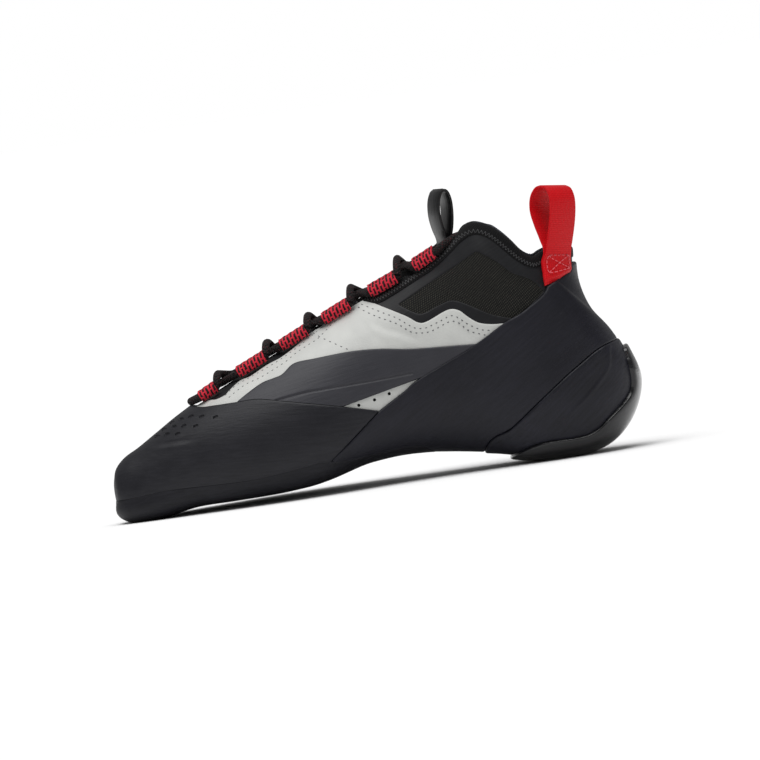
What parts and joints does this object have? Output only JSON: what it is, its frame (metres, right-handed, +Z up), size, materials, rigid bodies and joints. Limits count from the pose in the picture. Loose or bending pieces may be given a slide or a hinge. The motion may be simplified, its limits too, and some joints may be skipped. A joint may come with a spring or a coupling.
{
  "type": "climbing shoe",
  "caption": "Low lace-up climbing shoe with a downturned toe, moulded heel cup, side rands, lace tunnels and two pull loops.",
  "frame": {"origin": "middle of the flat spot under the toe, on the floor", "axes": "+Z up; the toe points to -X and the heel to +X; the big-toe side faces -Y"},
  "size_m": [0.2458, 0.0866, 0.1291],
  "materials": {
    "white_leather": "fine-grained coated leather, matt",
    "insole_fabric": "brushed lining cloth",
    "black_textile": "knitted stretch cloth",
    "sole_rubber": "moulded, matt",
    "gloss_rubber": "moulded, glossy",
    "rand_rubber": "sheet rubber, matt with a soft sheen",
    "grey_film": "welded film, satin",
    "red_webbing": "woven webbing",
    "black_strap": "coated strap, smooth",
    "ladder_webbing": "woven webbing with cross stripes",
    "lace_cord": "braided round lace"
  },
  "bodies": {
    "root": {"upper": "white_leather", "insole": "insole_fabric", "tongue": "black_textile", "sole_front": "sole_rubber", "sole_heel": "gloss_rubber", "rand_toe": "rand_rubber", "rand_heel": "rand_rubber", "heel_cup": "rand_rubber", "wing_medial": "grey_film", "wing_lateral": "grey_film", "heel_loop": "red_webbing", "tongue_loop": "black_strap", "tunnel_medial_1": "ladder_webbing", "tunnel_lateral_1": "ladder_webbing", "tunnel_medial_2": "ladder_webbing", "tunnel_lateral_2": "ladder_webbing", "tunnel_medial_3": "ladder_webbing", "tunnel_lateral_3": "ladder_webbing", "tunnel_medial_4": "ladder_webbing", "tunnel_lateral_4": "ladder_webbing", "tunnel_medial_5": "ladder_webbing", "tunnel_lateral_5": "ladder_webbing", "tunnel_medial_6": "ladder_webbing", "tunnel_lateral_6": "ladder_webbing", "lace_toe": "lace_cord", "lace_crossing_1": "lace_cord", "lace_crossing_2": "lace_cord", "lace_crossing_3": "lace_cord", "lace_crossing_4": "lace_cord", "lace_crossing_5": "lace_cord"}
  },
  "joints": []
}
